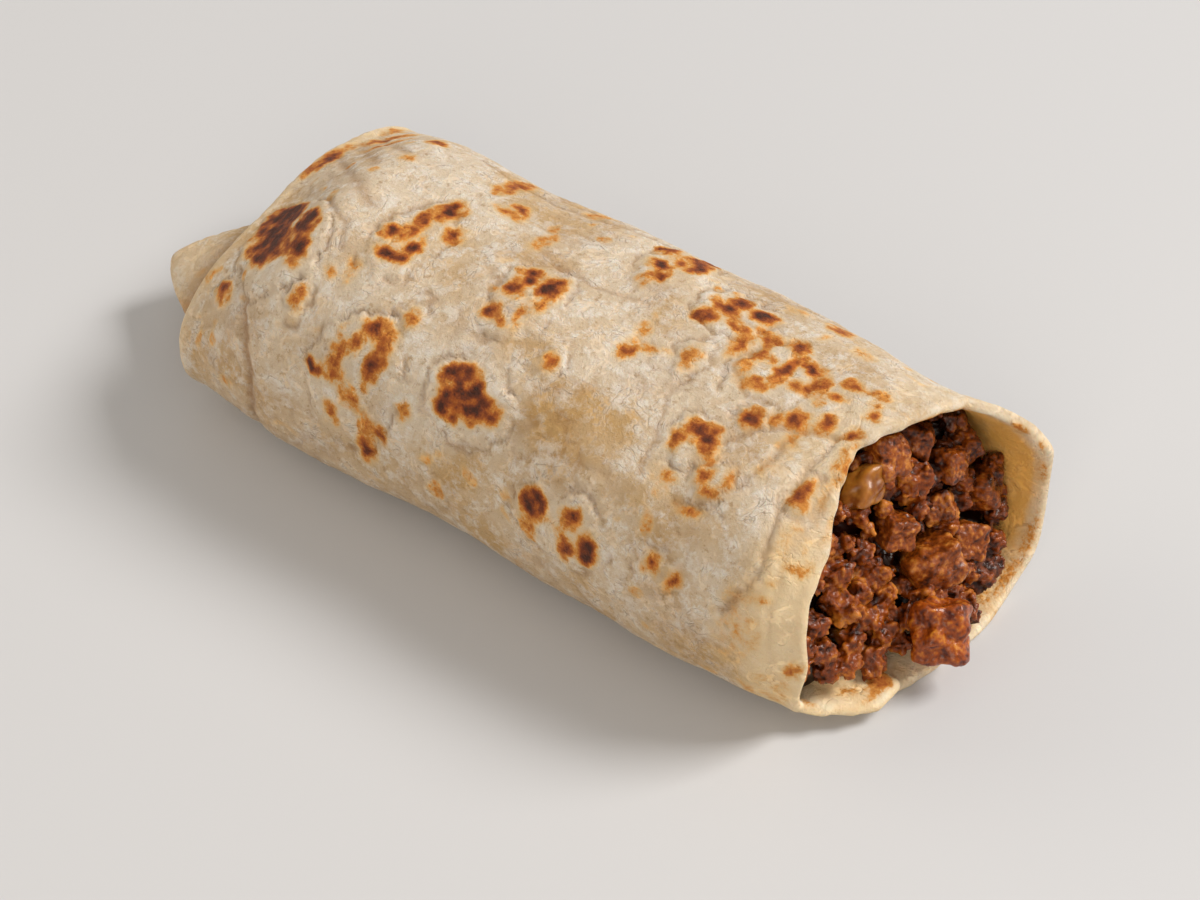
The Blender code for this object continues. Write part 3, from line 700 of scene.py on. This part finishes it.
# %% Browning of the tortilla
fine = add_node(dough, "TexNoise", "Fac", Vector=place, Scale=1 / 0.0012, Detail=4.0, Roughness=0.7)
fine = add_node(
    dough, "MapRange", "Result", Value=fine, From_Min=0.3, From_Max=0.7, To_Min=-0.17, To_Max=0.17
)
near_spot = add_node(dough, "MapRange", "Result", Value=toast_level, From_Min=0.04, From_Max=0.3)
fine = add_node(dough, "Math", "Value", operation="MULTIPLY", in_0=fine, in_1=near_spot)
scorch = add_node(dough, "Math", "Value", operation="ADD", use_clamp=True, in_0=toast_level, in_1=fine)
scale = add_node(dough, "ValToRGB", "Color", Fac=scorch)
colour_steps(scale, [
    (0.0, "e8d2aa"), (0.16, "e8bb76"), (0.34, "d9923e"), (0.54, "b3601d"), (0.76, "803a13"), (1.0, "4a2210"),
])
scorched = add_node(dough, "MapRange", "Result", Value=scorch, From_Min=0.02, From_Max=0.30)
body = add_node(dough, "Mix", 2, data_type="RGBA", in_0=scorched, in_6=body, in_7=scale)

# %% [markdown]
# The inner side has soaked up fat from the filling, so it is smooth and golden; on the back wall its gold is
# brightened as a painted glow of the light that shines through the sheet. Cracks and creases are darker than
# the dough around them, as painted shade, and so is the tip under the folded edge, as a painted shadow.
# Three bump layers add crumb, flakes and fine wrinkles, smaller than the mesh holds.

# %% Inner side with its painted glow, painted shade in the cracks, and surface of the tortilla
# Gold of the inner side: fat, and on the back wall a painted glow of light through the sheet.
oil_glow_share = add_node(dough, "TexNoise", "Fac", Vector=place, Scale=1 / 0.010, Detail=3.0)
oil_glow_share = add_node(dough, "MapRange", "Result", Value=oil_glow_share, From_Min=0.38, From_Max=0.62)
oil_glow_share = add_node(
    dough, "Math", "Value", operation="MULTIPLY_ADD", use_clamp=True, in_0=oil_glow_share, in_1=0.45, in_2=-0.1
)
oil_glow_share = add_node(dough, "Math", "Value", operation="ADD", use_clamp=True, in_0=oil_glow_share, in_1=tan_and_painted_light_level)
inner = add_node(dough, "Mix", 2, data_type="RGBA", in_0=oil_glow_share, in_6="fff1d4", in_7="fbbd58")
inside_share = add_node(
    dough, "Math", "Value", operation="SUBTRACT", use_clamp=True, in_0=0.85, in_1=outside_level
)
pale_share = add_node(dough, "Math", "Value", operation="SUBTRACT", use_clamp=True, in_0=1.0, in_1=scorched)
inside_share = add_node(dough, "Math", "Value", operation="MULTIPLY", in_0=inside_share, in_1=pale_share)
body = add_node(dough, "Mix", 2, data_type="RGBA", in_0=inside_share, in_6=body, in_7=inner)
# Painted shade: the cracks, the creases and the tip under the folded edge are multiplied darker.
painted_shade_mix = add_node(dough, "Math", "Value", operation="MULTIPLY", in_0=painted_shade_level, in_1=0.65)
body = add_node(
    dough, "Mix", 2, data_type="RGBA", blend_type="MULTIPLY", in_0=painted_shade_mix, in_6=body, in_7="b08a62"
)
shine = add_node(
    dough, "MapRange", "Result", Value=tan_and_painted_light_level, From_Min=0.0, From_Max=1.0, To_Min=0.68, To_Max=0.46
)
crumb_bump = add_node(dough, "Bump", "Normal", Height=speck_size, Strength=0.35, Distance=0.0004)
flake_bump = add_node(
    dough, "Bump", "Normal", Height=crumb_size, Normal=crumb_bump, Strength=0.95, Distance=0.0017
)
wrinkle_bump = add_node(
    dough, "Bump", "Normal", Height=wrinkle, Normal=flake_bump, Strength=0.6, Distance=0.0005, invert=True
)
for socket, source in (("Base Color", body), ("Roughness", shine), ("Normal", wrinkle_bump)):
    dough.node_tree.links.new(source, shader.inputs[socket])
set_inputs(shader, {
    "Subsurface Weight": 0.12,
    "Subsurface Radius": (1.0, 0.6, 0.3),
    "Subsurface Scale": 0.002,
    "Specular IOR Level": 0.35,
})
for piece in (sheet, tip):
    piece.data.materials.append(dough)
    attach(piece, "root")
    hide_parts("tortilla")

# %% [markdown]
# ## The heap of beef
# The filling is diced beef, coarse mince and a dark sauce, pressed together by the wrap. Its face leans
# back from the lip to the roof. Most pieces that show are listed one by one, large cubes among crumbles, and
# smaller crumbles fill in behind them. Each piece is a rounded block or ball with a lumpy outline.

# %% Where the filling's face lies
FACE_ROOF, FACE_TOE, FACE_SLANT = 0.0800, 0.1040, 0.16


def face_x(y, z):
    """How far along the roll the filling's face is, at that place across and up it."""
    return FACE_TOE + (FACE_ROOF - FACE_TOE) * min(1.0, z / (HEIGHT - SHEET)) + FACE_SLANT * y


# %% Pieces of beef listed one by one
# Each is (mm across the mouth, mm up, size in mm, mm that it stands forward, tone from 0 dark to 1 light).
# The darker tones of some pieces high under the roof are painted shade.
CUBES = (
    (7, 46.5, 9.5, 1.6, 0.66), (18.5, 43, 9, -0.8, 0.42), (9.5, 19, 12, 3.2, 0.60),
    (21.5, 17, 8, 1.8, 0.62), (17.5, 27, 7.5, 1.2, 0.66), (24, 35, 8, 1.2, 0.55), (30.5, 36, 7, 0.2, 0.45),
    (30.5, 24.5, 8.5, 0.3, 0.42), (19.5, 33, 6, -1.6, 0.25), (3, 31, 8.5, 2.2, 0.58),
    (35.5, 27, 5.5, 0.8, 0.42),
)
CRUMBLES = (
    (-3, 14, 5, 4.5, 0.5), (2, 16.5, 5.5, 4.0, 0.55), (9.5, 12, 5.5, 4.0, 0.6), (12, 7, 6, 4.5, 0.5),
    (9.5, 2.8, 4.5, 7, 0.3), (-6, 8, 5.5, 2.5, 0.5), (5.5, 14.5, 5, 5.0, 0.6), (13.5, 3.5, 4, 3.5, 0.3),
    (12, 38, 8, 2.0, 0.58), (4, 42.5, 4.5, 2.0, 0.55), (-5.5, 40.5, 5.5, 2.5, 0.60),
    (-11, 44, 6, 1.5, 0.55), (1.5, 37, 4, 1.5, 0.70), (10.5, 31.5, 4.5, 1.5, 0.55), (17, 24, 5, 2.5, 0.55),
    (35, 14, 6.5, 1.6, 0.36), (21, 8.5, 8, 1.8, 0.36), (26.5, 7, 5, 1.0, 0.38), (28, 13.5, 5, 2.0, 0.40),
    (32, 19.5, 6, 2.0, 0.42), (17.5, 13, 5, 2.0, 0.60), (14.5, 7.5, 5, 2.0, 0.55), (37, 20, 5, 0.5, 0.36),
    (27, 29, 5, 0.0, 0.5), (-18, 38.5, 6.5, 1.5, 0.70), (-12, 36, 5, 1.5, 0.50), (-22, 33, 6, 1.0, 0.60),
    (-16, 31, 7, 2.0, 0.60), (-8, 31.5, 6, 1.5, 0.48), (-26, 24.5, 6, 1.5, 0.55),
    (-18.5, 24, 7.5, 3.0, 0.72), (-12, 25, 5.5, 2.5, 0.62), (-6.5, 26, 6.5, 2.5, 0.58),
    (-12, 18, 6.5, 2.5, 0.60), (-6, 20, 5.5, 2.0, 0.66), (-18, 16, 5.5, 2.0, 0.60),
    (-26.5, 18, 6, 2.0, 0.55), (-22, 12.5, 5.5, 2.5, 0.68), (-31.5, 22, 6, 1.5, 0.50),
    (-15, 8.5, 7, 2.5, 0.60), (-9.5, 12.5, 6, 2.0, 0.58), (-33, 17.5, 5, 1.0, 0.62),
    (-28.5, 29, 5, 1.0, 0.55), (-20, 28, 4.5, 2.0, 0.66), (1, 17.5, 4.5, 1.0, 0.60),
    (-24, 38, 4.5, 0.0, 0.5), (-27, 13, 5, 1.5, 0.5), (-4, 35, 3.2, 1.0, 0.75), (29, 42, 5, -1.0, 0.35),
    (24, 25, 4, 0.0, 0.4), (38, 30, 4.5, 0.0, 0.35), (12, 51, 4, -1, 0.35), (25, 47, 4, -1, 0.3),
)
NEAR_MOUTH = 0.095


def is_inside(y, z, margin):
    """Whether a place across the mouth lies inside the sheet by that margin, all in metres."""
    angle = math.degrees(math.atan2(-y, MIDDLE * HEIGHT - z)) % 360
    lift = (SHEET + LAYER_GAP) if z < 0.012 and y < -0.012 else 0
    wall = section(NEAR_MOUTH, angle, SHEET + lift + margin)
    centre = np.array([0, MIDDLE * HEIGHT])
    return np.hypot(*(np.array([y, z]) - centre)) < np.hypot(*(wall[1:] - centre))


CLEAR_SHARE = 0.36  # how much of its size a crumble's middle keeps away from the sheet
scatter = np.random.default_rng(11)


def scattered(count, smallest, largest, push):
    """Crumbles at random over the mouth, with their fronts about that far forward of the face, all in mm."""
    made = []
    for y, z in scatter.uniform((-40, 3), (41, 55), (count, 2)):
        size = scatter.uniform(smallest, largest)
        if is_inside(y * MM, z * MM, size * CLEAR_SHARE * MM):
            made.append((y, z, size, push + scatter.uniform(-2.2, 1.0), scatter.uniform(0.2, 0.75)))
    return made


crumbs = [
    piece for piece in CRUMBLES
    if is_inside(piece[0] * MM, piece[1] * MM, piece[2] * CLEAR_SHARE * MM)
]
crumbs += scattered(240, 1.8, 4.2, -0.9)
crumbs_behind = scattered(120, 4.5, 7.5, -6.0)
print(len(CUBES), "cubes,", len(crumbs), "crumbles and", len(crumbs_behind), "more behind them")

# %% [markdown]
# Balls that merely overlap look like gravel, because mince and sauce stick together. So the crumbles are
# joined and passed through a voxel Remesh, which welds them into one skin with soft valleys. The cubes keep
# their own edges, so they aren't welded. Small rounded granules are then raised along the normals, since
# braised beef is made of short fibres a millimetre or two across.


# %% Lumpy blocks and granules
noise.seed_set(11)  # noise_vector takes its offsets from this seed, so the grain is the same on every run


def squared_off(d, squareness):
    """How far a rounded block reaches in that direction: squareness 2 is a ball and 6 nearly a cube."""
    return (abs(d.x) ** squareness + abs(d.y) ** squareness + abs(d.z) ** squareness) ** (-1 / squareness)


def lumpy_block(cage, place, size, squareness, unevenness, subdivisions):
    """Adds a rounded block with a lumpy outline."""
    half = size / 2 * scatter.uniform(0.86, 1.14, 3)
    spin = Euler(scatter.uniform(-0.6, 0.6, 3) if squareness > 3 else scatter.uniform(0, 6.3, 3)).to_matrix()
    shift = Vector(scatter.uniform(0, 50, 3))
    made = bmesh.ops.create_icosphere(cage, subdivisions=subdivisions, radius=1)["verts"]
    for vertex in made:
        d = vertex.co.normalized()
        small_lumps = 0.6 * unevenness * noise.noise(d * 3.4 + shift)
        swell = squared_off(d, squareness)
        swell *= 1 + unevenness * noise.noise(d * 1.6 + shift) + small_lumps
        vertex.co = spin @ Vector((d.x * half[0], d.y * half[1], d.z * half[2])) * swell + place


def granules(position, size):
    """A field of rounded grains: 1 at a grain's top, 0 in the valley between grains."""
    bent = position + 0.35 * size * noise.noise_vector(position / (size * 1.7))
    distances = noise.voronoi(bent / size)[0]
    return max(0.0, min(1.0, (distances[1] - distances[0]) * 1.5))


def grainy(mesh, grain_size, grain_height, tone_at):
    """Raises a mesh into granules, and keeps each point's tone, its depth in the heap and how low it lies."""
    tones, depths, valley_sauce_and_shade_values, raised = [], [], [], []
    for vertex in mesh.vertices:
        local = vertex.co - AXIS
        grain = granules(vertex.co, grain_size)
        strength = 0.55 + 0.9 * noise.noise(vertex.co / 0.007)
        rough = noise.noise(vertex.co / (grain_size * 0.6)) + noise.noise(vertex.co / (grain_size * 1.5))
        lift = strength * 0.6 * (grain - 0.6) + 0.75 * rough
        raised.append(vertex.co + vertex.normal * grain_height * lift)
        tones.append(tone_at(vertex.co))
        depths.append((face_x(local.y, local.z) - local.x) / MM)
        # Lower points: darker in the valleys, partly sauce and partly painted shade; higher ones lighter,
        # painted light on the grains' tops.
        valley_sauce_and_shade_values.append(0.5 - 0.8 * lift)
    mesh.vertices.foreach_set("co", np.array(raised, np.float32).reshape(-1))
    keep_on_mesh(mesh, {"tone": tones, "depth": depths, "valley_sauce_and_shade": valley_sauce_and_shade_values})
    mesh.shade_smooth()


def heap_of_meat(name, pieces, squareness, unevenness, voxel, grain_size, grain_height):
    """All the pieces of one kind in one mesh; with a voxel size they are also welded into one skin."""
    cage = bmesh.new()
    tree = kdtree.KDTree(len(pieces))
    for number, (y, z, size, push, tone) in enumerate(pieces):
        y, z, size = y * MM, z * MM, size * MM
        place = AXIS + Vector((face_x(y, z) + push * MM - 0.3 * size, y, z))
        lumpy_block(cage, place, size, squareness, unevenness, 3 if voxel else 5)
        tree.insert(place, number)
    tree.balance()
    mesh = bpy.data.meshes.new(name)
    cage.to_mesh(mesh)
    cage.free()
    made = new_object(name, mesh)
    if voxel:
        weld = made.modifiers.new("weld", "REMESH")
        weld.mode, weld.voxel_size = "VOXEL", voxel
        mesh = bpy.data.meshes.new_from_object(made.evaluated_get(bpy.context.evaluated_depsgraph_get()))
        made.modifiers.clear()
        made.data = mesh
        mesh.name = name
    grainy(mesh, grain_size, grain_height, lambda co: pieces[tree.find(co)[1]][4])
    print(name, "has", sum(len(face.vertices) - 2 for face in mesh.polygons), "triangles")
    return made


crumbles = heap_of_meat(
    "beef_crumbles", crumbs, squareness=2.8, unevenness=0.50, voxel=0.00044, grain_size=0.0019,
    grain_height=0.0009,
)
lower_crumbles = heap_of_meat(
    "beef_crumbles_behind", crumbs_behind, squareness=2.8, unevenness=0.50, voxel=0.00060, grain_size=0.0024,
    grain_height=0.0009,
)
cubes = heap_of_meat(
    "beef_cubes", CUBES, squareness=8.0, unevenness=0.15, voxel=None, grain_size=0.0012, grain_height=0.00030,
)

# %% [markdown]
# Behind the pieces that show, the heap is one dark mass out to the sheet. It closes the gaps between the
# crumbles, and carries on to the folded end. Its near-black colour is partly painted shade in those gaps.

# %% Core of the filling
core_angles = np.linspace(0, 360, 97)[:-1]
CORE_BACK, CORE_SETBACK, RIM_SETBACK, CORE_GAP = -0.058, 0.0065, 0.006, 0.0008
core_inset = SHEET + CORE_GAP + np.where(core_angles > SHEET_START - 16, layer_inset(core_angles), 0)
core_rim = rim(np.where(core_angles < SHEET_START, core_angles + 360, core_angles))
edge_points = section(0.09, core_angles, core_inset)
edge_reach = np.array([face_x(y, z) for x, y, z in edge_points]) - CORE_SETBACK
edge_reach = np.minimum(edge_reach, core_rim - RIM_SETBACK)
core_rows = []
for share in (0.0, 0.02, 0.2, 0.4, 0.6, 0.75, 0.88, 0.94, 1.0):
    x = CORE_BACK + (edge_reach - CORE_BACK) * share
    spread = np.minimum(0, mouth_spread(x, core_angles, core_rim))
    core_rows.append(section(x, core_angles, core_inset - spread + (0.004 if share == 0 else 0)))
face_edge = core_rows[-1]
centre = face_edge.mean(axis=0)
for share in np.linspace(0.92, 0.02, 22):
    ring = centre + (face_edge - centre) * share
    ring[:, 0] += 1.6 * MM * noise_at(ring, 0.006, 2) * (1 - share**4)
    core_rows.append(ring)
core_points = np.array(core_rows) + np.array(AXIS)
core = grid_object(
    "sauce_core", core_points, loop_rows=False, loop_columns=True, attributes={}, closed_ends=True
)

# %% [markdown]
# Two pieces stand out. The largest cube of beef has tumbled onto the lip, and a slice of onion, soft and
# translucent, is caught under the roof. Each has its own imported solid, and sits where that solid is.


# %% Large cube and onion
def single_piece(name, node, squareness, unevenness, grain_size, grain_height, turn, tone, stretch, shift):
    """A detailed block at its CAD node's box, stretched by factors and shifted by mm along each axis."""
    low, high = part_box(node)
    cage = bmesh.new()
    bmesh.ops.create_icosphere(cage, subdivisions=6, radius=1)
    spin = Euler([math.radians(a) for a in turn]).to_matrix()
    for vertex in cage.verts:
        d = vertex.co.normalized()
        swell = 1 + unevenness * noise.noise(d * 1.7 + Vector((5, 2, 8)))
        vertex.co = spin @ (d * squared_off(d, squareness) * swell)
    reach = [max(abs(vertex.co[i]) for vertex in cage.verts) for i in range(3)]
    for vertex in cage.verts:
        for i in range(3):
            half = (high[i] - low[i]) / 2 * stretch[i]
            vertex.co[i] = (low[i] + high[i]) / 2 + vertex.co[i] / reach[i] * half + shift[i] * MM
    mesh = bpy.data.meshes.new(name)
    cage.to_mesh(mesh)
    cage.free()
    grainy(mesh, grain_size, grain_height, lambda co: tone)
    return new_object(name, mesh)


big_cube = single_piece(
    "large_beef_cube", "beef_chunk", squareness=4.4, unevenness=0.36, grain_size=0.0016, grain_height=0.00024,
    turn=(0, -34, -54), tone=0.55, stretch=(1.12, 1.12, 1.05), shift=(1.6, -0.4, 0.5),
)
onion = single_piece(
    "onion_slice", "onion_piece", squareness=4.0, unevenness=0.20, grain_size=0.0060, grain_height=0.00016,
    turn=(-48, -14, 20), tone=0.5, stretch=(1.0, 1.35, 0.74), shift=(0.2, 2.2, 0.0),
)

# %% [markdown]
# ## Braised beef
# Cooked meat is brown from its own pigment, and its sauce, red with chilli and tomato, wets every face, so
# it shines. Light pieces are the cut fibres and dark ones are crusted; some pieces high under the roof are
# listed darker as painted shade. Between the granules the colour is darker, partly sauce and partly painted
# shade, and the grains' tops are lighter as painted light. Deep in the heap hardly any light returns, so the
# colour falls with depth as well.

# %% Beef material
def beef(name, dark, middle, light, coat):
    """Braised beef between three tones, with a wet coat."""
    made, meat = new_material(name)
    place = add_node(made, "TexCoord", "Object")
    patchy = add_node(made, "TexNoise", "Fac", Vector=place, Scale=1 / 0.0026, Detail=4.0, Roughness=0.6)
    patchy = add_node(
        made, "MapRange", "Result", Value=patchy, From_Min=0.3, From_Max=0.7, To_Min=-0.22, To_Max=0.22
    )
    fibres = add_node(made, "TexNoise", "Fac", Vector=place, Scale=1 / 0.0008, Detail=3.0, Roughness=0.7)
    fibres = add_node(
        made, "MapRange", "Result", Value=fibres, From_Min=0.3, From_Max=0.7, To_Min=-0.14, To_Max=0.14
    )
    tone = add_node(made, "Attribute", "Fac", attribute_name="tone")
    tone = add_node(made, "Math", "Value", operation="ADD", in_0=tone, in_1=patchy)
    tone = add_node(made, "Math", "Value", operation="ADD", in_0=tone, in_1=fibres)
    # Darker in the valleys between granules, partly sauce and partly painted shade; lighter on the tops as
    # painted light.
    valley_sauce_and_shade = add_node(made, "Attribute", "Fac", attribute_name="valley_sauce_and_shade")
    valley_sauce_and_shade = add_node(
        made, "MapRange", "Result", Value=valley_sauce_and_shade, From_Min=0.1, From_Max=1.1, To_Min=-0.14, To_Max=0.50
    )
    tone = add_node(made, "Math", "Value", operation="SUBTRACT", use_clamp=True, in_0=tone, in_1=valley_sauce_and_shade)
    scale = add_node(made, "ValToRGB", "Color", Fac=tone)
    colour_steps(scale, [(0.0, dark), (0.5, middle), (1.0, light)])
    deep = add_node(made, "Attribute", "Fac", attribute_name="depth")
    deep = add_node(made, "MapRange", "Result", Value=deep, From_Min=-0.8, From_Max=3.6, To_Max=0.96)
    paint = add_node(made, "Mix", 2, data_type="RGBA", in_0=deep, in_6=scale, in_7="160400")
    gloss = add_node(made, "TexNoise", "Fac", Vector=place, Scale=1 / 0.003, Detail=3.0)
    gloss = add_node(
        made, "MapRange", "Result", Value=gloss, From_Min=0.35, From_Max=0.65, To_Min=0.2, To_Max=0.46
    )
    grain = add_node(made, "TexNoise", "Fac", Vector=place, Scale=1 / 0.0007, Detail=4.0, Roughness=0.65)
    grain = add_node(made, "Bump", "Normal", Height=grain, Strength=0.8, Distance=0.0003)
    for socket, source in (("Base Color", paint), ("Roughness", gloss), ("Normal", grain)):
        made.node_tree.links.new(source, meat.inputs[socket])
    set_inputs(meat, {
        "Specular IOR Level": 0.28,
        "Coat Weight": coat,
        "Coat Roughness": 0.07,
        "Subsurface Weight": 0.08,
        "Subsurface Radius": (1.0, 0.35, 0.15),
        "Subsurface Scale": 0.0012,
    })
    return made


mince = beef("braised_mince", "2e0d02", "883d08", "d4852e", 0.18)
diced = beef("braised_diced_beef", "360f02", "8e440d", "d68d3c", 0.20)
glazed = beef("glazed_beef_cube", "521802", "a04a0a", "e0922c", 0.35)

# %% [markdown]
# ## Sauce and onion
# The sauce is a thin, dark red-brown gravy. Cooked onion is glassy: it takes the sauce's colour, lets light
# into it and has a wet, smooth surface.

# %% Sauce and onion materials
def mottled(name, dark, light, size, detail, threshold, settings):
    """A wet food between two colours, in soft patches of that size."""
    made, flesh = new_material(name)
    place = add_node(made, "TexCoord", "Object")
    patchy = add_node(made, "TexNoise", "Fac", Vector=place, Scale=1 / size, Detail=detail)
    patchy = add_node(made, "MapRange", "Result", Value=patchy, From_Min=0.35, From_Max=threshold)
    tone = add_node(made, "Mix", 2, data_type="RGBA", in_0=patchy, in_6=dark, in_7=light)
    made.node_tree.links.new(tone, flesh.inputs["Base Color"])
    set_inputs(flesh, settings)
    return made


# Near-black gravy: sauce, and painted shade in the gaps between the crumbles.
gravy_and_gap_shade = mottled("chilli_gravy_and_gap_shade", "170501", "371003", 0.004, 3.0, 0.65, {
    "Roughness": 0.3,
    "Coat Weight": 0.4,
    "Coat Roughness": 0.15,
})
soft_onion = mottled("softened_onion", "723a0a", "b87a2c", 0.004, 4.0, 0.7, {
    "Roughness": 0.34,
    "Subsurface Weight": 0.5,
    "Subsurface Radius": (1.0, 0.6, 0.25),
    "Subsurface Scale": 0.003,
    "Coat Weight": 0.12,
    "Specular IOR Level": 0.35,
})

for piece, material, node, finish in (
    (crumbles, mince, "filling", "braised_beef"),
    (lower_crumbles, mince, "filling", "braised_beef"),
    (cubes, diced, "filling", "braised_beef"),
    (core, gravy_and_gap_shade, "filling", "braised_beef"),
    (big_cube, glazed, "beef_chunk", "beef_cube"),
    (onion, soft_onion, "onion_piece", "cooked_onion"),
):
    piece.data.materials.clear()
    piece.data.materials.append(material)
    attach(piece, "root")
    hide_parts(node)
